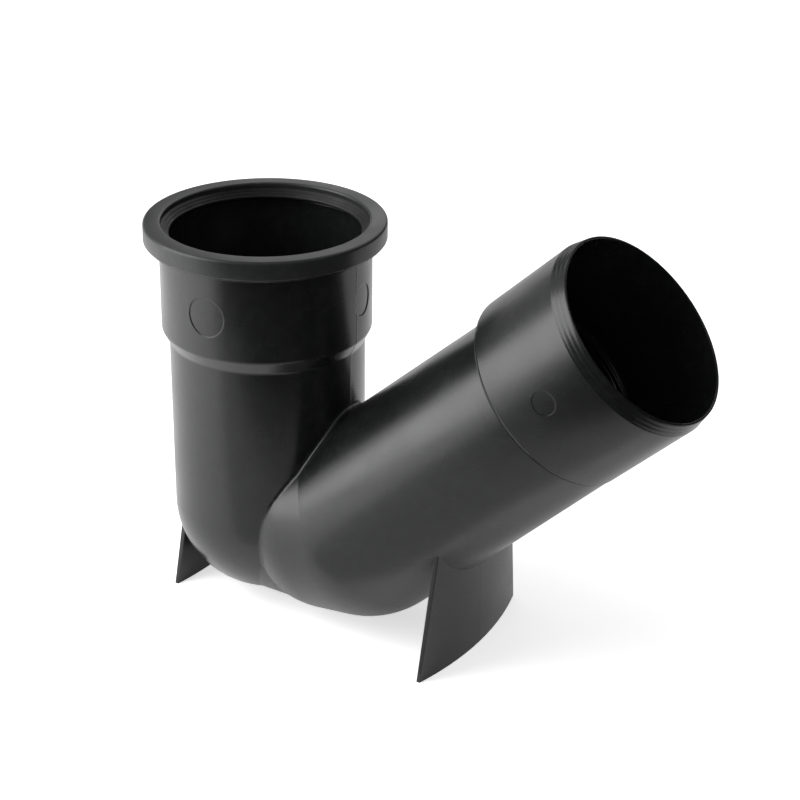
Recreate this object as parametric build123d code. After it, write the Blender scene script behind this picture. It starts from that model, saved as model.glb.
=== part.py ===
from build123d import *
from build123d.topology import SkipClean

import math
import os
from dataclasses import dataclass

# Driving dimensions, in millimetres and degrees.
# The inlet's axis is Z and the outlet leaves towards +X. Heights start at the seal lip's bore.

# Walls of the moulding
leg_wall = 3.2

# Seal lip, which grips the pipe pushed into the inlet: its mouth and root are wider than the socket's bore
lip_reach = 4.3
lip_land = 2.0
lip_slope_drop = 3.5
lip_mouth_gap = 1.0
seal_root_gap = 2.1

# Retaining cap over the seal
cap_height = 10.5
cap_plate = 3.0
cap_skirt = 1.3
cap_edge_chamfer = 0.9
cap_mouth_chamfer = 0.6
cap_clearance = 0.1
snap_height = 1.2
snap_depth = 0.5
seal_clearance = 0.2

# Socket for a 110 pipe
socket_r = 55.3
socket_wall = 2.5
socket_length = 51.8
socket_lead_in = 0.8
seal_height = 5.7
flange_height = 2.8
flange_width = 6.8
shoulder_height = 7.5
shoulder_round = 3.0

# Bend: depth of its lowest point below the rim's top, then each rounded end's distance from the inlet's
# axis, radius and lift above that lowest point
bend_depth = 221.6
inlet_leg_r = 53.8
inlet_ball_lift = 1.4
heel_x = 45.8
heel_r = 52.3
toe_x = 66.1
toe_r = 55.1
toe_lift = 2.4
bridge_r = 46.0
bridge_rise = 0.3
crease_round = 2.5

# Outlet spigot, which takes the next pipe's socket, and the leg that rises to it
outlet_angle = 43.1
mouth_x = 223.5
mouth_depth = 14.7
spigot_r = 55.0
spigot_length = 64.2
spigot_chamfer_length = 8.0
spigot_chamfer = 2.0
spigot_edge_chamfer = 0.4
outlet_leg_r = 51.8
outlet_leg_drop = 2.8

# Feet: curved plates across the gully, level with each other
foot_drop = 0.4
foot_bow_r = 200.0
foot_bottom_thickness = 2.0
foot_top_thickness = 3.0
front_foot_x = 137.6
front_foot_half_width = 53.8
front_foot_lean = 10.0
back_foot_x = -38.3
back_foot_half_width = 35.9
back_foot_lean = 12.6

# Round marks left by the moulding tool: raised on the socket, sunk in the spigot
mark_height = 0.4
mark_depth = 37.5
front_mark_turn = -90.0
front_mark_r = 11.0
side_mark_turn = 7.0
side_mark_r = 8.8
spigot_mark_r = 6.5
spigot_mark_back = 36.0

# Room that a cut runs past a face, and the distance under which two surfaces meet
cut_margin = 1.0
touch_tolerance = 0.0001

# Sizes that follow from the ones above
lip_top = lip_land / 2
rim_top = lip_top + lip_slope_drop + cap_plate
seal_bottom = rim_top - cap_plate - seal_height
skirt_bottom = rim_top - cap_height
snap_z = (seal_bottom + skirt_bottom) / 2
flange_bottom = seal_bottom - flange_height
lip_mouth_r = socket_r + lip_mouth_gap
lip_r = lip_mouth_r - lip_reach
seal_root_r = socket_r + seal_root_gap
barrel_r = socket_r + socket_wall
flange_r = barrel_r + flange_width
skirt_r = flange_r + cap_clearance
cap_r = skirt_r + cap_skirt
barrel_bottom = seal_bottom - socket_length
shoulder_bottom = barrel_bottom - shoulder_height
bend_z = rim_top - bend_depth
base_z = bend_z - foot_drop


@dataclass(frozen=True)
class Ball:
    """A rounded end of the bend, centred in the plane of both axes."""

    x: float
    z: float
    r: float

    def inset(self, wall):
        """Same centre, smaller by one wall."""
        return Ball(self.x, self.z, self.r - wall)


outlet_direction = Vector(math.cos(math.radians(outlet_angle)), 0, math.sin(math.radians(outlet_angle)))
outlet_downward = Vector(outlet_direction.Z, 0, -outlet_direction.X)
mouth_centre = Vector(mouth_x, 0, rim_top - mouth_depth)
seam_centre = mouth_centre - outlet_direction * spigot_length
leg_end_centre = seam_centre + outlet_downward * outlet_leg_drop

inlet_ball = Ball(0, bend_z + inlet_ball_lift + inlet_leg_r, inlet_leg_r)
heel_ball = Ball(heel_x, bend_z + heel_r, heel_r)
toe_ball = Ball(toe_x, bend_z + toe_lift + toe_r, toe_r)
leg_end_ball = Ball(leg_end_centre.X, leg_end_centre.Z, outlet_leg_r)

# Each foot ends inside the form that it carries: the outlet leg at its axis, the inlet ball at its centre
leg_steepness = (leg_end_ball.z - toe_ball.z) / (leg_end_ball.x - toe_ball.x)
front_foot_top = toe_ball.z + leg_steepness * (front_foot_x - toe_ball.x)
back_foot_top = inlet_ball.z


# The moulding is the same on both sides of the plane of its two axes, so the half towards +Y is built
# from half turns and then mirrored. Outlines about Z stand on the plane's +X side.
half_turn = 180
full_turn = 360


def turned(outline, turn):
    """Ring about Z, or the half of it towards +Y, from a closed outline of (radius, height) points."""
    edge = Polyline(*outline, close=True)
    return revolve(Plane.XZ * make_face(edge), Axis.Z, revolution_arc=turn)


def inlet_form(outline, roundings, ball):
    """Half solid about Z whose outline ends at the widest circle of the ball below it."""
    side = FilletPolyline(*outline, (ball.r, ball.z), radius=roundings)
    floor = CenterArc((0, ball.z), ball.r, -90, 90)
    centre_line = Line((0, ball.z - ball.r), outline[0])
    return revolve(Plane.XZ * make_face([side, floor, centre_line]), Axis.Z, revolution_arc=half_turn)


def ball_run(start, end):
    """Half of two balls joined by the cone that touches both."""
    run = Vector(end.x - start.x, 0, end.z - start.z)
    taper = math.acos((start.r - end.r) / run.length)
    touch = Vector(math.cos(taper), math.sin(taper))
    turn = math.degrees(taper)
    start_round = CenterArc((0, 0), start.r, turn, 180 - turn)
    end_round = CenterArc((run.length, 0), end.r, 0, turn)
    flank = Line(touch * start.r, Vector(run.length, 0) + touch * end.r)
    centre_line = Line((-start.r, 0), (run.length + end.r, 0))
    solid = revolve(make_face([start_round, flank, end_round, centre_line]), Axis.X, revolution_arc=half_turn)
    return Plane(origin=(start.x, 0, start.z), x_dir=run, z_dir=(0, 1, 0)) * solid


def bridge(inset):
    """Low, narrower run that joins the two ends of the bend along the bottom."""
    ends = [
        Ball(ball.x, ball.z - ball.r + bridge_r + bridge_rise, bridge_r).inset(inset)
        for ball in (inlet_ball, heel_ball)
    ]
    return ball_run(*ends)


def rise(inset):
    """Outlet's end of the bend and the tapered leg that climbs to the spigot."""
    heel, toe, leg_end = (ball.inset(inset) for ball in (heel_ball, toe_ball, leg_end_ball))
    return ball_run(heel, toe) + ball_run(toe, leg_end)


def meeting_edges(joined, first, second):
    """Edges of a joined half solid where the surfaces of its two parts meet, off the mirror plane."""
    return [
        edge
        for edge in joined.edges()
        if (edge @ 0.5).Y > touch_tolerance
        and all(part.distance_to(edge @ 0.5) < touch_tolerance for part in (first, second))
    ]


def snap_points(radius):
    """Points of the small ridge that clips the cap over the flange, from the bottom up."""
    return [
        (radius, snap_z - snap_height / 2),
        (radius - snap_depth, snap_z),
        (radius, snap_z + snap_height / 2),
    ]


def along_outlet(solid, start):
    """Place a solid made about Z so that it stands on the outlet's axis."""
    return Plane(origin=start, x_dir=outlet_downward, z_dir=outlet_direction) * solid


def inlet_outside():
    """Flange, socket barrel, shoulder and inlet leg."""
    outline = [
        (0, seal_bottom),
        (flange_r, seal_bottom),
        *reversed(snap_points(flange_r)),
        (flange_r, flange_bottom),
        (barrel_r, flange_bottom),
        (barrel_r, barrel_bottom),
        (inlet_leg_r, shoulder_bottom),
    ]
    roundings = [0, 0, 0, 0, 0, 0, shoulder_round, shoulder_round]
    return inlet_form(outline, roundings, inlet_ball)


def inlet_inside():
    """Socket bore, pipe stop and the bore of the inlet leg."""
    ball = inlet_ball.inset(leg_wall)
    outline = [
        (0, seal_bottom + cut_margin),
        (socket_r + socket_lead_in + cut_margin, seal_bottom + cut_margin),
        (socket_r, seal_bottom - socket_lead_in),
        (socket_r, barrel_bottom),
        (ball.r, shoulder_bottom),
    ]
    return inlet_form(outline, [0, 0, 0, 0], ball)


def spigot_outside():
    """Plain end of the outlet, chamfered at its mouth."""
    outline = [
        (0, 0),
        (spigot_r - spigot_edge_chamfer, 0),
        (spigot_r, spigot_edge_chamfer),
        (spigot_r, spigot_length - spigot_chamfer_length),
        (spigot_r - spigot_chamfer, spigot_length),
        (0, spigot_length),
    ]
    return along_outlet(turned(outline, half_turn), seam_centre)


def spigot_inside():
    """Bore of the spigot, which starts one wall past the seam."""
    bore_r = spigot_r - leg_wall
    outline = [
        (0, leg_wall),
        (bore_r, leg_wall),
        (bore_r, spigot_length + cut_margin),
        (0, spigot_length + cut_margin),
    ]
    return along_outlet(turned(outline, half_turn), seam_centre)


def foot(crown_x, half_width, lean, top_z):
    """Half of a plate across the gully, bowed towards the outlet, thinner and wider towards the ground."""
    outline = [
        (foot_bow_r, base_z),
        (foot_bow_r, top_z),
        (foot_bow_r - foot_top_thickness, top_z),
        (foot_bow_r - foot_bottom_thickness, base_z),
    ]
    bow = turned(outline, half_turn)
    top_half_width = half_width - (top_z - base_z) * math.tan(math.radians(lean))
    front = Polyline(
        (0, base_z),
        (half_width, base_z),
        (top_half_width, top_z),
        (0, top_z),
        close=True,
    )
    bow_centre = crown_x - foot_bow_r
    silhouette = extrude(Plane.YZ.offset(bow_centre) * make_face(front), foot_bow_r)
    return Pos(bow_centre, 0, 0) * bow & silhouette


def skin_patch(low_r, high_r, patch_r, outward):
    """Round patch of the skin between two radii about Z, on the side that faces outward."""
    height = 4 * patch_r
    skin = Cylinder(high_r, height) - Cylinder(low_r, height)
    pin = Cylinder(patch_r, high_r + patch_r, align=(Align.CENTER, Align.CENTER, Align.MIN))
    return Plane(origin=(0, 0, 0), z_dir=outward) * pin & skin


def barrel_marks():
    """Thin round marks that stand out of the socket barrel."""
    marks = []
    for turn, patch_r in ((front_mark_turn, front_mark_r), (side_mark_turn, side_mark_r)):
        outward = (math.cos(math.radians(turn)), math.sin(math.radians(turn)), 0)
        patch = skin_patch(barrel_r - cut_margin, barrel_r + mark_height, patch_r, outward)
        marks.append(Pos(0, 0, rim_top - mark_depth) * patch)
    return marks


def spigot_mark():
    """Thin round recess in the spigot's side, where nothing may stand in the next socket's way."""
    patch = skin_patch(spigot_r - mark_height, spigot_r + cut_margin, spigot_mark_r, (0, -1, 0))
    return along_outlet(patch, mouth_centre - outlet_direction * spigot_mark_back)


def half_inside():
    """Half of everything that is hollow: socket, trap, outlet leg and spigot."""
    return inlet_inside() + rise(leg_wall) + bridge(leg_wall) + spigot_inside()


def half_body():
    """Half of the moulding, with the crease between the inlet and the rising outlet rounded."""
    inlet = inlet_outside()
    outlet = rise(0)
    outside = inlet + outlet
    outside = outside.fillet(crease_round, meeting_edges(outside, inlet, outlet))
    outside += bridge(0)
    outside += spigot_outside()
    outside += foot(front_foot_x, front_foot_half_width, front_foot_lean, front_foot_top)
    outside += foot(back_foot_x, back_foot_half_width, back_foot_lean, back_foot_top)
    return outside - half_inside()


def trap_body():
    """The whole moulding: socket, trap, outlet and feet in one solid, with its round marks.

    The faces of the two halves stay apart where they meet, which is the moulding's own parting line.
    """
    half = half_body()
    with SkipClean():
        body = half + mirror(half, Plane.XZ)
        for mark in barrel_marks():
            body += mark
        return body - spigot_mark()


def ring_seal():
    """Rubber ring between the flange and the cap, with a lip that slopes down to the pipe."""
    seal_top = rim_top - cap_plate
    slope = lip_slope_drop / (lip_mouth_r - lip_r)
    outline = [
        (lip_mouth_r, seal_top),
        (lip_r, lip_top),
        (lip_r, lip_top - lip_land),
        (seal_root_r, lip_top - lip_land + slope * (seal_root_r - lip_r)),
        (seal_root_r, seal_bottom),
        (flange_r - seal_clearance, seal_bottom),
        (flange_r - seal_clearance, seal_top),
    ]
    return turned(outline, full_turn)


def retaining_cap():
    """Ring that holds the seal down and clips over the body's flange."""
    plate_bottom = rim_top - cap_plate
    outline = [
        (lip_mouth_r, rim_top - cap_mouth_chamfer),
        (lip_mouth_r + cap_mouth_chamfer, rim_top),
        (cap_r - cap_edge_chamfer, rim_top),
        (cap_r, rim_top - cap_edge_chamfer),
        (cap_r, skirt_bottom),
        (skirt_r, skirt_bottom),
        *snap_points(skirt_r),
        (skirt_r, plate_bottom),
        (lip_mouth_r, plate_bottom),
    ]
    return turned(outline, full_turn)


os.makedirs("parts", exist_ok=True)
export_step(trap_body(), "parts/trap_body.step")
export_step(retaining_cap(), "parts/retaining_cap.step")
export_step(ring_seal(), "parts/ring_seal.step")
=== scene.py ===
"""Trapped drain gully: a black moulded fitting with a sealed inlet, a water trap and a rising outlet."""

import logging
import math
from dataclasses import dataclass, field
from enum import Enum
from typing import Any

import bpy
from mathutils import Matrix, Vector


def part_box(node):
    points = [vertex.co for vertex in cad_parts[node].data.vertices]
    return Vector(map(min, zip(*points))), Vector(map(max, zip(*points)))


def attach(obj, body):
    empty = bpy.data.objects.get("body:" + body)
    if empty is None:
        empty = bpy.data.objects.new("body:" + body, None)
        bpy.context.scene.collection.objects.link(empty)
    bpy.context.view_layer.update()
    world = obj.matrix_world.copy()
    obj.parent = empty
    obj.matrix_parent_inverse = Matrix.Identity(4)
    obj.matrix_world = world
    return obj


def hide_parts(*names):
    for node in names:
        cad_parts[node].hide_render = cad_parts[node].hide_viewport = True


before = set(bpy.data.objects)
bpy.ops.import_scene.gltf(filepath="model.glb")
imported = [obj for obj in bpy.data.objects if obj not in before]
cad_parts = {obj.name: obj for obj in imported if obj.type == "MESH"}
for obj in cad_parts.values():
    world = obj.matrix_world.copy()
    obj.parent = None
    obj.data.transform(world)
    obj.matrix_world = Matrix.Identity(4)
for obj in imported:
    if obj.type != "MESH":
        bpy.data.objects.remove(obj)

LOG = logging.getLogger("gully")
MM = 0.001
BODY = "root"
GULLY_MIDDLE = Vector((0.085, 0.0, -0.1))
WHITE = (1.0, 1.0, 1.0, 1.0)


class Slot(Enum):
    """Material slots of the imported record."""

    BODY = "body_plastic"
    CAP = "cap_plastic"
    SEAL = "seal_rubber"


# Shared helpers


def linear(hex_colour: str) -> tuple[float, float, float, float]:
    """Turn an sRGB colour into the linear values that a shader takes.

    Args:
        hex_colour: Colour as "#rrggbb".

    Returns:
        Linear red, green, blue and an alpha of one.
    """
    parts = (int(hex_colour[i : i + 2], 16) / 255 for i in (1, 3, 5))
    red, green, blue = (c / 12.92 if c <= 0.04045 else ((c + 0.055) / 1.055) ** 2.4 for c in parts)
    return red, green, blue, 1.0


def add_node(
    tree: bpy.types.NodeTree,
    kind: str,
    settings: dict[str, Any] | None = None,
    inputs: dict[str | int, Any] | None = None,
) -> bpy.types.Node:
    """Add one node with its settings, and give each input a value or a link.

    Args:
        tree: Tree that gets the node.
        kind: Type name of the node.
        settings: Properties of the node by name.
        inputs: Input by name or index, with a plain value or another node's output.

    Returns:
        The new node.
    """
    node = tree.nodes.new(kind)
    for name, value in (settings or {}).items():
        setattr(node, name, value)
    for key, value in (inputs or {}).items():
        if isinstance(value, bpy.types.NodeSocket):
            tree.links.new(value, node.inputs[key])
        else:
            node.inputs[key].default_value = value
    return node


# Finishes


@dataclass(frozen=True)
class Moulded:
    """A moulded black finish, with the grain of its tool, slow flow marks and light rubbing.

    Lengths are in millimetres and are turned to metres where the nodes read them. A rubbed patch is a share
    of a flow mark's size, and the ranges are the parts of a noise that are stretched over a whole change.
    """

    name: str
    colour: str
    worn_colour: str
    ior: float
    roughness: float
    roughness_spread: float
    grain_size: float
    grain_height: float
    flow_size: float
    flow_height: float
    edge_radius: float = 0.5
    parting_width: float = 0.0
    parting_height: float = 0.0
    parting_bottom: float = -150.0
    seam_groove: float = 0.0
    rub_share: float = 0.22
    rub_range: tuple[float, float] = (0.45, 0.75)
    flow_range: tuple[float, float] = (0.3, 0.7)
    flow_octaves: float = 1.0
    rub_octaves: float = 6.0
    grain_octaves: float = 2.0
    edge_samples: int = 6

    def build(self) -> bpy.types.Material:
        """Make the material's nodes.

        Returns:
            The finished material.
        """
        material = bpy.data.materials.new(self.name)
        material.use_nodes = True
        tree = material.node_tree
        shader = tree.nodes["Principled BSDF"]
        place = add_node(tree, "ShaderNodeTexCoord").outputs["Object"]

        flow = self._noise(tree, place, self.flow_size, self.flow_octaves)
        rub = self._noise(tree, place, self.flow_size * self.rub_share, self.rub_octaves)
        grain = self._noise(tree, place, self.grain_size, self.grain_octaves)

        worn = self._spread(tree, rub, self.rub_range, (0.0, 1.0))
        tone = add_node(
            tree,
            "ShaderNodeMix",
            {"data_type": "RGBA"},
            {"Factor": worn, 6: linear(self.colour), 7: linear(self.worn_colour)},
        )
        tree.links.new(tone.outputs[2], shader.inputs["Base Color"])
        low, high = self.roughness - self.roughness_spread, self.roughness + self.roughness_spread
        tree.links.new(self._spread(tree, flow, self.flow_range, (low, high)), shader.inputs["Roughness"])

        edge = add_node(
            tree, "ShaderNodeBevel", {"samples": self.edge_samples}, {"Radius": self.edge_radius * MM}
        )
        normal = self._relief(tree, edge.outputs["Normal"], flow, self.flow_height)
        normal = self._relief(tree, normal, grain, self.grain_height)
        if self.parting_width:
            normal = self._relief(tree, normal, self._parting_line(tree, place), self.parting_height)
        if self.seam_groove:
            normal = self._relief(tree, normal, OutletRings().height(tree, place), self.seam_groove)
        tree.links.new(normal, shader.inputs["Normal"])
        shader.inputs["IOR"].default_value = self.ior
        return material

    def _noise(
        self, tree: bpy.types.NodeTree, place: bpy.types.NodeSocket, size: float, octaves: float
    ) -> bpy.types.NodeSocket:
        """Noise whose bumps are about one size across.

        Args:
            tree: Tree that gets the node.
            place: Coordinates in metres.
            size: Size of a bump in millimetres.
            octaves: Steps of finer noise on it.

        Returns:
            The noise value, from 0 to 1.
        """
        return add_node(
            tree, "ShaderNodeTexNoise", None, {"Vector": place, "Scale": 1 / (size * MM), "Detail": octaves}
        ).outputs["Fac"]

    def _spread(
        self,
        tree: bpy.types.NodeTree,
        value: bpy.types.NodeSocket,
        part: tuple[float, float],
        ends: tuple[float, float],
    ) -> bpy.types.NodeSocket:
        """Stretch a part of a value over another range, and hold it at that range's ends.

        Args:
            tree: Tree that gets the node.
            value: Value to stretch.
            part: Lowest and highest value that is stretched.
            ends: What these two become.

        Returns:
            The stretched value.
        """
        return add_node(
            tree,
            "ShaderNodeMapRange",
            None,
            {"Value": value, "From Min": part[0], "From Max": part[1], "To Min": ends[0], "To Max": ends[1]},
        ).outputs["Result"]

    def _relief(
        self,
        tree: bpy.types.NodeTree,
        normal: bpy.types.NodeSocket,
        height: bpy.types.NodeSocket,
        size: float,
    ) -> bpy.types.NodeSocket:
        """Raise the skin by a height.

        Args:
            tree: Tree that gets the node.
            normal: Normal of the skin so far.
            height: Height as a share.
            size: Height of a share of one, in millimetres.

        Returns:
            The normal of the raised skin.
        """
        return add_node(
            tree,
            "ShaderNodeBump",
            None,
            {"Strength": 1.0, "Distance": size * MM, "Height": height, "Normal": normal},
        ).outputs["Normal"]

    def _parting_line(self, tree: bpy.types.NodeTree, place: bpy.types.NodeSocket) -> bpy.types.NodeSocket:
        """Fine ridge where the tool's two halves met, in the plane of both axes.

        Args:
            tree: Tree that gets the nodes.
            place: Coordinates in metres.

        Returns:
            A height of 1 on the line and 0 beside it.
        """
        split = add_node(tree, "ShaderNodeSeparateXYZ", None, {"Vector": place})
        away = add_node(tree, "ShaderNodeMath", {"operation": "ABSOLUTE"}, {0: split.outputs["Y"]})
        half = self.parting_width * MM / 2
        ridge = add_node(
            tree,
            "ShaderNodeMapRange",
            {"interpolation_type": "SMOOTHSTEP"},
            {"Value": away.outputs["Value"], "From Max": half, "To Min": 1.0, "To Max": 0.0},
        )
        above = add_node(
            tree,
            "ShaderNodeMath",
            {"operation": "GREATER_THAN"},
            {0: split.outputs["Z"], 1: self.parting_bottom * MM},
        )
        return add_node(
            tree,
            "ShaderNodeMath",
            {"operation": "MULTIPLY"},
            {0: ridge.outputs["Result"], 1: above.outputs["Value"]},
        ).outputs["Value"]


@dataclass(frozen=True)
class OutletRings:
    """Fine rings round the outlet, placed by how far along its axis they lie from the spigot's seam.

    Lengths are in millimetres, and the seam is its centre's x and z.
    """

    angle: float = 43.1
    seam: tuple[float, float] = (176.62, -51.07)
    groove_at: float = 0.9
    groove_half_width: float = 0.8
    chamfer_start: float = 56.2
    turning_pitch: float = 2.4
    turning_share: float = 0.06

    def run(self) -> Vector:
        """Give the direction of the outlet's axis.

        Returns:
            A vector of length one, out of the mouth.
        """
        slope = math.radians(self.angle)
        return Vector((math.cos(slope), 0.0, math.sin(slope)))

    def start(self) -> Vector:
        """Give the place that the rings are measured from.

        Returns:
            The seam's centre, in metres.
        """
        return Vector((self.seam[0], 0.0, self.seam[1])) * MM

    def height(self, tree: bpy.types.NodeTree, place: bpy.types.NodeSocket) -> bpy.types.NodeSocket:
        """Relief of the groove at the seam and of the turned rings on the chamfer.

        Args:
            tree: Tree that gets the nodes.
            place: Coordinates in metres.

        Returns:
            A height of 0 on the plain skin and down to -1 in the groove.
        """
        run = self.run()
        start = self.start()
        dot = add_node(tree, "ShaderNodeVectorMath", {"operation": "DOT_PRODUCT"}, {0: place, 1: run / MM})
        along = self._math(tree, "SUBTRACT", dot.outputs["Value"], start.dot(run) / MM)
        away = self._math(tree, "ABSOLUTE", self._math(tree, "SUBTRACT", along, self.groove_at))
        groove = add_node(
            tree,
            "ShaderNodeMapRange",
            {"interpolation_type": "SMOOTHSTEP"},
            {"Value": away, "From Max": self.groove_half_width, "To Min": -1.0, "To Max": 0.0},
        ).outputs["Result"]
        wave = self._math(tree, "SINE", self._math(tree, "MULTIPLY", along, math.tau / self.turning_pitch))
        on_chamfer = self._math(tree, "GREATER_THAN", along, self.chamfer_start)
        rings = self._math(tree, "MULTIPLY", wave, on_chamfer)
        return self._math(tree, "ADD", groove, self._math(tree, "MULTIPLY", rings, self.turning_share))

    def _math(self, tree: bpy.types.NodeTree, operation: str, *values: Any) -> bpy.types.NodeSocket:
        """Work out one step of arithmetic.

        Args:
            tree: Tree that gets the node.
            operation: Name of the step.
            values: Plain values or other nodes' outputs.

        Returns:
            The result.
        """
        node = add_node(tree, "ShaderNodeMath", {"operation": operation}, dict(enumerate(values)))
        return node.outputs["Value"]


# PVC-U from a polished tool: a half-gloss skin that mirrors soft lights as broad blurred bands
BODY_PVC = Moulded(
    name="moulded_pvcu_black",
    colour="#151616",
    worn_colour="#1c1d1d",
    ior=1.53,
    roughness=0.27,
    roughness_spread=0.035,
    grain_size=0.9,
    grain_height=0.012,
    flow_size=26.0,
    flow_height=0.04,
    edge_radius=0.9,
    parting_width=0.9,
    parting_height=0.12,
    seam_groove=0.5,
)

# Polypropylene from a spark-eroded tool: an even dull grain, with soft light only along its edges
CAP_PP = Moulded(
    name="eroded_polypropylene_black",
    colour="#222323",
    worn_colour="#292a2a",
    ior=1.49,
    roughness=0.36,
    roughness_spread=0.05,
    grain_size=0.7,
    grain_height=0.02,
    flow_size=18.0,
    flow_height=0.03,
    edge_radius=0.4,
)

# SBR rubber: soft black with a dull waxy skin
SEAL_SBR = Moulded(
    name="moulded_sbr_rubber",
    colour="#0b0b0b",
    worn_colour="#121211",
    ior=1.5,
    roughness=0.5,
    roughness_spread=0.08,
    grain_size=0.8,
    grain_height=0.03,
    flow_size=9.0,
    flow_height=0.05,
    edge_radius=0.4,
)


# Pieces


@dataclass(frozen=True)
class Corner:
    """One corner of a ring's cross-section, in millimetres."""

    name: str
    radius: float
    height: float
    rounding: float = 0.0


@dataclass
class RingLathe:
    """Turns a closed cross-section about the inlet's axis, with its corners rounded."""

    name: str
    corners: list[Corner]
    steps_around: int = 256
    steps_per_rounding: int = 7
    sharp_angle: float = 32.0

    def turn(self, finish: bpy.types.Material) -> bpy.types.Object:
        """Run the node tree and keep its result as a plain mesh.

        Args:
            finish: Material of the ring.

        Returns:
            The ring, at the frame's origin.
        """
        tree = bpy.data.node_groups.new(f"{self.name}_lathe", "GeometryNodeTree")
        panel = tree.interface
        panel.new_socket("Geometry", in_out="OUTPUT", socket_type="NodeSocketGeometry")
        sockets = [
            panel.new_socket(corner.name, in_out="INPUT", socket_type="NodeSocketVector").identifier
            for corner in self.corners
        ]
        self._fill(tree, finish)

        bare = bpy.data.objects.new(self.name, bpy.data.meshes.new(f"{self.name}_start"))
        bpy.context.scene.collection.objects.link(bare)
        lathe = bare.modifiers.new("lathe", "NODES")
        lathe.node_group = tree
        for socket, corner in zip(sockets, self.corners):
            lathe[socket] = (corner.radius * MM, corner.height * MM, corner.rounding * MM)
        depsgraph = bpy.context.evaluated_depsgraph_get()
        mesh = bpy.data.meshes.new_from_object(bare.evaluated_get(depsgraph))
        bare.modifiers.remove(lathe)
        bare.data = mesh
        mesh.name = self.name
        mesh.shade_smooth()
        mesh.set_sharp_from_angle(angle=math.radians(self.sharp_angle))
        return bare

    def _fill(self, tree: bpy.types.NodeTree, finish: bpy.types.Material) -> None:
        """Lay the corners out as a rounded curve and sweep it round a circle of the first corner's radius.

        Args:
            tree: Tree whose inputs are the corners, each as radius, height and rounding.
            finish: Material of the ring.
        """
        given = add_node(tree, "NodeGroupInput")
        place = tree.nodes.new("GeometryNodeIndexSwitch")
        place.data_type = "VECTOR"
        while len(place.index_switch_items) < len(self.corners):
            place.index_switch_items.new()
        number = add_node(tree, "GeometryNodeInputIndex")
        tree.links.new(number.outputs["Index"], place.inputs["Index"])
        for index in range(len(self.corners)):
            tree.links.new(given.outputs[index], place.inputs[index + 1])
        split = add_node(tree, "ShaderNodeSeparateXYZ", None, {"Vector": place.outputs[0]})
        first = add_node(tree, "ShaderNodeSeparateXYZ", None, {"Vector": given.outputs[0]})
        outward = add_node(
            tree, "ShaderNodeMath", {"operation": "SUBTRACT"}, {0: split.outputs["X"], 1: first.outputs["X"]}
        )
        downward = add_node(
            tree, "ShaderNodeMath", {"operation": "MULTIPLY"}, {0: split.outputs["Y"], 1: -1.0}
        )
        flat = add_node(
            tree,
            "ShaderNodeCombineXYZ",
            None,
            {"X": outward.outputs["Value"], "Y": downward.outputs["Value"]},
        )
        points = add_node(tree, "GeometryNodeMeshLine", None, {"Count": len(self.corners)})
        laid = add_node(
            tree,
            "GeometryNodeSetPosition",
            None,
            {"Geometry": points.outputs["Mesh"], "Position": flat.outputs["Vector"]},
        )
        curve = add_node(tree, "GeometryNodeMeshToCurve", None, {"Mesh": laid.outputs["Geometry"]})
        closed = add_node(
            tree, "GeometryNodeSetSplineCyclic", None, {0: curve.outputs["Curve"], "Cyclic": True}
        )
        rounded = add_node(
            tree,
            "GeometryNodeFilletCurve",
            {"mode": "POLY"},
            {"Curve": closed.outputs[0], "Count": self.steps_per_rounding, "Radius": split.outputs["Z"]},
        )
        circle = add_node(
            tree,
            "GeometryNodeCurvePrimitiveCircle",
            None,
            {"Resolution": self.steps_around, "Radius": first.outputs["X"]},
        )
        upright = add_node(
            tree, "GeometryNodeSetCurveNormal", {"mode": "Z_UP"}, {"Curve": circle.outputs["Curve"]}
        )
        swept = add_node(
            tree,
            "GeometryNodeCurveToMesh",
            None,
            {"Curve": upright.outputs["Curve"], "Profile Curve": rounded.outputs["Curve"]},
        )
        real = add_node(tree, "GeometryNodeRealizeInstances", None, {"Geometry": swept.outputs["Mesh"]})
        dressed = add_node(
            tree,
            "GeometryNodeSetMaterial",
            None,
            {"Geometry": real.outputs["Geometry"], "Material": finish},
        )
        add_node(tree, "NodeGroupOutput", None, {0: dressed.outputs["Geometry"]})


def stand_for(piece: bpy.types.Object, node: str) -> None:
    """Let a piece take a solid's place and ride on the gully's one body.

    Args:
        piece: The finished piece.
        node: Name of the solid that it replaces.
    """
    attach(piece, BODY)
    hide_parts(node)


@dataclass
class RetainingCap:
    """Ring that clips over the socket's flange and holds the seal down, with rounded outer edges."""

    node: str = "retaining_cap"
    mouth_radius: float = 56.3
    plate: float = 3.0
    skirt: float = 1.3
    top_rounding: float = 1.8
    mouth_rounding: float = 1.2
    foot_rounding: float = 0.9
    snap_height: float = 1.2
    snap_depth: float = 0.5
    snap_level: float = -2.1

    def build(self) -> bpy.types.Object:
        """Turn the cap in the space of its solid.

        Returns:
            The cap.
        """
        low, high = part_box(self.node)
        outer, top, bottom = high[0] / MM, high[2] / MM, low[2] / MM
        inner = outer - self.skirt
        corners = [
            Corner("mouth edge", self.mouth_radius, top, self.mouth_rounding),
            Corner("outer edge", outer, top, self.top_rounding),
            Corner("foot edge", outer, bottom, self.foot_rounding),
            Corner("foot inside", inner, bottom),
            Corner("snap bottom", inner, self.snap_level - self.snap_height / 2),
            Corner("snap ridge", inner - self.snap_depth, self.snap_level),
            Corner("snap top", inner, self.snap_level + self.snap_height / 2),
            Corner("under plate", inner, top - self.plate),
            Corner("mouth bottom", self.mouth_radius, top - self.plate),
        ]
        cap = RingLathe("socket_cap", corners).turn(CAP_PP.build())
        stand_for(cap, self.node)
        return cap


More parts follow.
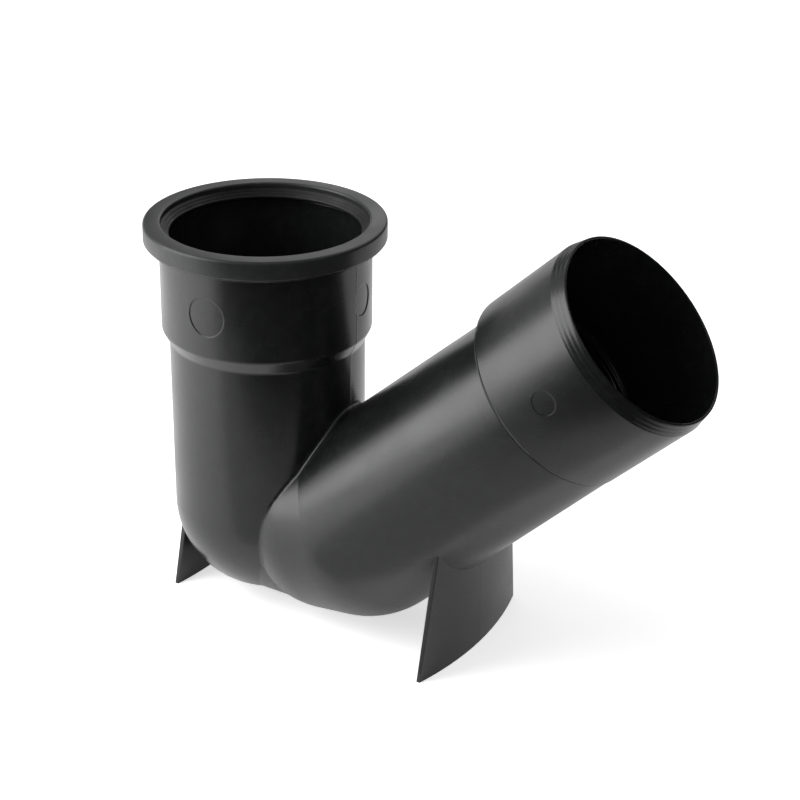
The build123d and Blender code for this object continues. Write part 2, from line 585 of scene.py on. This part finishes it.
@dataclass
class RingSeal:
    """Rubber ring whose lip slopes down to the pipe, in shallow steps from its mould."""

    node: str = "ring_seal"
    lip_radius: float = 52.0
    lip_land: float = 2.0
    lip_rounding: float = 0.5
    mouth_radius: float = 56.3
    root_radius: float = 57.4
    step_depth: float = 0.35
    step_width: float = 0.4
    step_places: tuple[float, float] = (0.32, 0.68)

    def build(self) -> bpy.types.Object:
        """Turn the seal in the space of its solid.

        Returns:
            The seal.
        """
        low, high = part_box(self.node)
        outer, top, bottom = high[0] / MM, high[2] / MM, low[2] / MM
        lip_top = self.lip_land / 2
        lip_bottom = lip_top - self.lip_land
        reach = self.mouth_radius - self.lip_radius
        slope = (top - lip_top) / reach
        corners = [Corner("slope top", self.mouth_radius, top)]
        for number, share in enumerate(self.step_places, 1):
            radius = self.mouth_radius - share * reach
            height = top - share * (top - lip_top)
            corners.append(Corner(f"step {number} edge", radius, height))
            corners.append(Corner(f"step {number} foot", radius, height - self.step_depth))
            corners.append(
                Corner(f"step {number} end", radius - self.step_width, height - self.step_width * slope)
            )
        corners += [
            Corner("lip edge", self.lip_radius, lip_top, self.lip_rounding),
            Corner("lip bottom", self.lip_radius, lip_bottom, self.lip_rounding),
            Corner("root", self.root_radius, lip_bottom + slope * (self.root_radius - self.lip_radius)),
            Corner("bead inside", self.root_radius, bottom),
            Corner("bead outside", outer, bottom),
            Corner("bead top", outer, top),
        ]
        seal = RingLathe("lip_seal", corners[::-1]).turn(SEAL_SBR.build())
        stand_for(seal, self.node)
        return seal


@dataclass
class TrapMoulding:
    """The one-piece body: its solid's own faces joined up, with its round tool marks set to their depths.

    Lengths are in millimetres. The socket's marks stand out of the solid by mark_height and are sunk, and the
    spigot's mark is cut that deep into the solid and is made shallower.
    """

    node: str = "trap_body"
    barrel_radius: float = 57.8
    mark_height: float = 0.4
    mark_depth: float = 0.4
    mark_levels: tuple[float, float] = (-44.0, -16.0)
    spigot_radius: float = 55.0
    spigot_mark_at: float = 28.2
    spigot_mark_radius: float = 6.5
    spigot_mark_depth: float = 0.15
    spigot_mark_margin: float = 1.0
    found_within: float = 0.02
    digits: int = 7

    def build(self) -> bpy.types.Object:
        """Join the solid's loose triangles and sink the marks.

        Returns:
            The body.
        """
        places, faces, normals = self._joined(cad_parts[self.node].data)
        self._sink_marks(places, faces, normals)
        self._lift_spigot_mark(places)
        mesh = bpy.data.meshes.new("trap_moulding")
        mesh.from_pydata(places, [], faces)
        mesh.shade_smooth()
        mesh.normals_split_custom_set(normals)
        mesh.materials.append(BODY_PVC.build())
        body = bpy.data.objects.new("trap_moulding", mesh)
        bpy.context.scene.collection.objects.link(body)
        stand_for(body, self.node)
        return body

    def _joined(self, solid: bpy.types.Mesh) -> tuple[list[Vector], list[list[int]], list[Vector]]:
        """Merge the points that the solid's triangles share.

        Args:
            solid: Mesh of loose triangles.

        Returns:
            Points, the triangles' point numbers, and one normal for each corner of each triangle.
        """
        numbers: dict[tuple[float, ...], int] = {}
        places: list[Vector] = []
        merged: list[int] = []
        for vertex in solid.vertices:
            key = tuple(round(c, self.digits) for c in vertex.co)
            if key not in numbers:
                numbers[key] = len(places)
                places.append(vertex.co.copy())
            merged.append(numbers[key])
        faces: list[list[int]] = []
        normals: list[Vector] = []
        for polygon in solid.polygons:
            face = [merged[v] for v in polygon.vertices]
            if len(set(face)) == len(face):
                faces.append(face)
                normals += [solid.corner_normals[i].vector.copy() for i in polygon.loop_indices]
        return places, faces, normals

    def _sink_marks(self, places: list[Vector], faces: list[list[int]], normals: list[Vector]) -> None:
        """Move the raised marks' faces below the barrel's skin, so that their rims become a recess's walls.

        Args:
            places: Points, of which those on the marks are moved.
            faces: Triangles by point number.
            normals: One for each corner of each triangle; those of the recess's walls are made new.
        """
        raised = (self.barrel_radius + self.mark_height) * MM
        sunk = (self.barrel_radius - self.mark_depth) / (self.barrel_radius + self.mark_height)
        bottom, top = (level * MM for level in self.mark_levels)
        moved = {
            number
            for number, place in enumerate(places)
            if bottom < place.z < top and abs(place.xy.length - raised) < self.found_within * MM
        }
        for number in moved:
            places[number].xy *= sunk
        for index, face in enumerate(faces):
            on_mark = [number in moved for number in face]
            if any(on_mark) and not all(on_mark):
                a, b, c = (places[number] for number in face)
                wall = (b - a).cross(c - a).normalized()
                normals[3 * index : 3 * index + 3] = [wall] * 3
        LOG.info("marks: %d points sunk", len(moved))

    def _lift_spigot_mark(self, places: list[Vector]) -> None:
        """Make the spigot's round recess shallower, as it shows only faintly.

        Args:
            places: Points, of which those on the recess's floor are moved outwards.
        """
        rings = OutletRings()
        run, start = rings.run(), rings.start()
        floor = self.spigot_radius - self.mark_height
        lift = (self.spigot_radius - self.spigot_mark_depth) / floor - 1.0
        lifted = 0
        for place in places:
            along = (place - start).dot(run)
            spoke = place - start - run * along
            if abs(along / MM - self.spigot_mark_at) > self.spigot_mark_radius + self.spigot_mark_margin:
                continue
            if abs(spoke.length / MM - floor) < self.found_within:
                place += spoke * lift
                lifted += 1
        LOG.info("spigot mark: %d points lifted", lifted)


# Studio


@dataclass
class StudioCamera:
    """Camera at the photograph's place, in millimetres and degrees."""

    azimuth: float = 30.28
    elevation: float = 25.34
    roll: float = 0.55
    distance: float = 1128.5
    focal_px: float = 2100.0
    image_px: float = 800.0
    sensor_mm: float = 36.0
    target: tuple[float, float, float] = (84.99, 0.0, -79.94)

    def build(self) -> bpy.types.Object:
        """Make the camera and set it as the scene's own.

        Returns:
            The camera's object.
        """
        turn, tilt, roll = (math.radians(a) for a in (self.azimuth, self.elevation, self.roll))
        forward = Vector((-math.sin(turn) * math.cos(tilt), math.cos(turn) * math.cos(tilt), -math.sin(tilt)))
        level = Vector((math.cos(turn), math.sin(turn), 0.0))
        above = level.cross(forward)
        right = level * math.cos(roll) + above * math.sin(roll)
        up = above * math.cos(roll) - level * math.sin(roll)
        data = bpy.data.cameras.new("camera")
        data.sensor_width = self.sensor_mm
        data.lens = self.focal_px / self.image_px * self.sensor_mm
        camera = bpy.data.objects.new("camera", data)
        place = (Vector(self.target) - forward * self.distance) * MM
        turned = Matrix((right, up, -forward)).transposed().to_4x4()
        camera.matrix_world = Matrix.Translation(place) @ turned
        bpy.context.scene.collection.objects.link(camera)
        bpy.context.scene.camera = camera
        return camera


def in_view(turn: float, distance: float, height: float) -> Vector:
    """Place in the studio, given as the photographer sees it.

    Args:
        turn: Degrees from the line to the camera, more to the camera's right.
        distance: Metres from the gully's middle, along the floor.
        height: Metres above the frame's origin.

    Returns:
        The place in the frame.
    """
    heading = math.radians(turn - 90 + StudioCamera.azimuth)
    return Vector((GULLY_MIDDLE.x + distance * math.cos(heading), distance * math.sin(heading), height))


@dataclass
class Softbox:
    """A soft rectangular lamp that points at the gully's middle."""

    name: str
    turn: float
    distance: float
    height: float
    width: float
    tallness: float
    radiance: float
    mirrored: bool = True

    def build(self) -> bpy.types.Object:
        """Make the lamp.

        Returns:
            The lamp's object.
        """
        data = bpy.data.lights.new(self.name, "AREA")
        data.shape = "RECTANGLE"
        data.size = self.width
        data.size_y = self.tallness
        data.energy = self.radiance * math.pi * self.width * self.tallness
        lamp = bpy.data.objects.new(self.name, data)
        lamp.location = in_view(self.turn, self.distance, self.height)
        aim = GULLY_MIDDLE - lamp.location
        lamp.rotation_euler = aim.to_track_quat("-Z", "Y").to_euler()
        lamp.visible_glossy = self.mirrored
        bpy.context.scene.collection.objects.link(lamp)
        return lamp


@dataclass
class PaintedReflectionCard:
    """A flat sheet that only reflections meet, whose colour paints dark shade and whose glow paints light
    into the gully's reflections, as black and white cards do round a glossy object in a studio.

    Corners are given as (turn, distance, height) in the photographer's terms. The glow is what it adds of its
    own to a reflection, and the cover is the share of what lies behind it that it hides.
    """

    name: str
    corners: list[tuple[float, float, float]]
    colour: str = "#050505"
    glow: float = 0.0
    cover: float = 1.0

    def build(self) -> bpy.types.Object:
        """Make the card.

        Returns:
            The card's object.
        """
        mesh = bpy.data.meshes.new(self.name)
        mesh.from_pydata([in_view(*corner) for corner in self.corners], [], self._faces())
        card = bpy.data.objects.new(self.name, mesh)
        bpy.context.scene.collection.objects.link(card)
        material = bpy.data.materials.new(f"{self.name}_painted_reflection")
        material.use_nodes = True
        shader = material.node_tree.nodes["Principled BSDF"]
        # Painted shade: this colour, and the glow below, show only in the gully's reflections.
        shader.inputs["Base Color"].default_value = linear(self.colour)
        shader.inputs["Roughness"].default_value = 1.0
        shader.inputs["Specular IOR Level"].default_value = 0.0
        shader.inputs["Emission Color"].default_value = WHITE
        shader.inputs["Emission Strength"].default_value = self.glow
        shader.inputs["Alpha"].default_value = self.cover
        mesh.materials.append(material)
        # Hidden from the camera, diffuse light and shadows, so the card only paints shade into reflections.
        card.visible_camera = False
        card.visible_diffuse = False
        card.visible_shadow = False
        return card

    def _faces(self) -> list[list[int]]:
        """Join all the corners in one face.

        Returns:
            The face, by corner number.
        """
        return [list(range(len(self.corners)))]


@dataclass
class PaintedReflectionCurtain(PaintedReflectionCard):
    """A sheet on an arc round the gully that only reflections meet, and that paints shade into them."""

    corners: list[tuple[float, float, float]] = field(default_factory=list)
    turns: tuple[float, float] = (0.0, 90.0)
    distance: float = 1.9
    heights: tuple[float, float] = (-0.2, 1.0)
    step: float = 12.0

    def __post_init__(self) -> None:
        """Hang the corners, low and high in turn."""
        count = max(1, round((self.turns[1] - self.turns[0]) / self.step))
        for number in range(count + 1):
            turn = self.turns[0] + (self.turns[1] - self.turns[0]) * number / count
            self.corners += [(turn, self.distance, height) for height in self.heights]

    def _faces(self) -> list[list[int]]:
        """Join each pair of uprights.

        Returns:
            One face for each pair, by corner number.
        """
        return [[i, i + 2, i + 3, i + 1] for i in range(0, len(self.corners) - 2, 2)]


@dataclass
class Studio:
    """White table, a large softbox and a lamp on the left, a white surrounding, and dark cards all round that
    only reflections meet, which paint shade into the gully's reflections.
    """

    floor_height: float = -0.2145
    floor_half_width: float = 6.0
    floor_colour: str = "#f6f6f6"
    floor_roughness: float = 0.9
    floor_glow_seen: float = 0.62
    floor_glow_mirrored: float = 0.28
    ambient: float = 0.45
    # Painted shade in reflections: heights of the table card and the sheer card, and how much of the table
    # the sheer card hides from the gully's reflections.
    card_height: float = -0.212
    sheer_height: float = -0.211
    sheer_cover: float = 0.4
    softboxes: list[Softbox] = field(
        default_factory=lambda: [
            Softbox("left_softbox", -82.0, 1.05, 0.38, 0.92, 1.12, 3.4),
            Softbox("top_softbox", -95.0, 0.75, 0.7, 0.8, 0.8, 3.6, mirrored=False),
        ]
    )
    front_edge: tuple[tuple[float, float], ...] = (
        (-63.0, 1.12),
        (-42.0, 0.4),
        (0.0, 0.22),
        (22.0, 0.22),
        (45.0, 0.25),
        (74.0, 0.34),
        (90.0, 1.5),
        (80.0, 2.3),
        (40.0, 2.3),
        (0.0, 2.3),
        (-63.0, 2.3),
    )
    sheer_edge: tuple[tuple[float, float], ...] = (
        (-61.0, 0.52),
        (-62.0, 0.28),
        (-63.0, 0.14),
        (0.0, 0.065),
        (26.0, 0.115),
        (68.0, 0.32),
        (68.0, 0.54),
        (40.0, 0.8),
        (0.0, 0.8),
        (-50.0, 0.8),
    )
    # Painted reflections: sheets round the gully that paint shade into its reflections, and left_rear's glow
    # paints light into them.
    painted_reflection_curtains: list[PaintedReflectionCurtain] = field(
        default_factory=lambda: [
            PaintedReflectionCurtain("front", turns=(-56.0, 112.0), heights=(-0.2, 1.9)),
            PaintedReflectionCurtain("right_rear", turns=(112.0, 150.0), heights=(-0.2, 1.0)),
            PaintedReflectionCurtain("rear", turns=(150.0, 188.0), heights=(-0.2, 0.2), colour="#404040"),
            PaintedReflectionCurtain("rear_end", turns=(188.0, 218.0), heights=(0.28, 1.0), colour="#303030"),
            PaintedReflectionCurtain("left_rear", turns=(218.0, 246.0), heights=(-0.2, 1.9), colour="#808080", glow=0.3),
        ]
    )
    # Painted shade in reflections from above.
    ceiling_reach: float = 1.2
    ceiling_height: float = 1.5
    ceiling_painted_shade: str = "#303030"

    def build(self) -> None:
        """Make the table, the lamps, the cards and the world."""
        self._floor()
        for softbox in self.softboxes:
            softbox.build()
        # Painted shade: cards on the table that darken the table in the gully's reflections, the sheer one
        # only partly.
        corners = [(turn, distance, self.card_height) for turn, distance in self.front_edge]
        PaintedReflectionCard("painted_table_shade", corners).build()
        corners = [(turn, distance, self.sheer_height) for turn, distance in self.sheer_edge]
        PaintedReflectionCard("painted_sheer_shade", corners, cover=self.sheer_cover).build()
        for curtain in self.painted_reflection_curtains:
            curtain.build()
        corners = [(turn, self.ceiling_reach, self.ceiling_height) for turn in (45.0, 135.0, 225.0, 315.0)]
        PaintedReflectionCard("ceiling", corners, self.ceiling_painted_shade).build()
        self._world()
        bpy.context.scene.view_settings.view_transform = "Standard"

    def _floor(self) -> None:
        """Lay the table, which is white to the camera and keeps the gully's shadow."""
        half = self.floor_half_width
        mesh = bpy.data.meshes.new("table")
        corners = [(-half, -half), (half, -half), (half, half), (-half, half)]
        mesh.from_pydata([(x, y, self.floor_height) for x, y in corners], [], [(0, 1, 2, 3)])
        floor = bpy.data.objects.new("table", mesh)
        bpy.context.scene.collection.objects.link(floor)
        material = bpy.data.materials.new("white_laminate")
        material.use_nodes = True
        shader = material.node_tree.nodes["Principled BSDF"]
        shader.inputs["Base Color"].default_value = linear(self.floor_colour)
        shader.inputs["Roughness"].default_value = self.floor_roughness
        shader.inputs["Emission Color"].default_value = WHITE
        tree = material.node_tree
        mirrored = add_node(
            tree,
            "ShaderNodeMath",
            {"operation": "MULTIPLY"},
            {0: self._seen(tree), 1: self.floor_glow_mirrored},
        )
        ray = add_node(tree, "ShaderNodeLightPath")
        glow = add_node(
            tree,
            "ShaderNodeMath",
            {"operation": "MULTIPLY_ADD"},
            {
                0: ray.outputs["Is Camera Ray"],
                1: self.floor_glow_seen - self.floor_glow_mirrored,
                2: mirrored.outputs["Value"],
            },
        )
        tree.links.new(glow.outputs["Value"], shader.inputs["Emission Strength"])
        mesh.materials.append(material)

    def _seen(self, tree: bpy.types.NodeTree) -> bpy.types.NodeSocket:
        """Tell a camera, mirror or glass ray from the light that falls on the gully.

        Args:
            tree: Tree that gets the nodes.

        Returns:
            1 for a ray that shows the background, 0 for one that lights the gully.
        """
        ray = add_node(tree, "ShaderNodeLightPath")
        seen = ray.outputs["Is Camera Ray"]
        for kind in ("Is Glossy Ray", "Is Transmission Ray"):
            either = add_node(
                tree, "ShaderNodeMath", {"operation": "MAXIMUM"}, {0: seen, 1: ray.outputs[kind]}
            )
            seen = either.outputs["Value"]
        return seen

    def _world(self) -> None:
        """Make a surrounding that is white to the camera and in reflections, and dimmer as a lamp."""
        world = bpy.data.worlds.new("studio")
        bpy.context.scene.world = world
        world.use_nodes = True
        tree = world.node_tree
        tree.nodes.clear()
        strength = add_node(
            tree,
            "ShaderNodeMapRange",
            None,
            {"Value": self._seen(tree), "To Min": self.ambient, "To Max": 1.0},
        )
        background = add_node(
            tree,
            "ShaderNodeBackground",
            None,
            {"Color": WHITE, "Strength": strength.outputs["Result"]},
        )
        add_node(tree, "ShaderNodeOutputWorld", None, {"Surface": background.outputs["Background"]})


def main() -> None:
    """Dress the gully, set up the studio and report each piece."""
    logging.basicConfig(level=logging.INFO, format="%(name)s: %(message)s")
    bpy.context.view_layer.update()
    pieces = [TrapMoulding().build(), RetainingCap().build(), RingSeal().build()]
    for piece in pieces:
        LOG.info("%s: %d faces", piece.name, len(piece.data.polygons))
    Studio().build()
    StudioCamera().build()


if __name__ == "__main__":
    main()
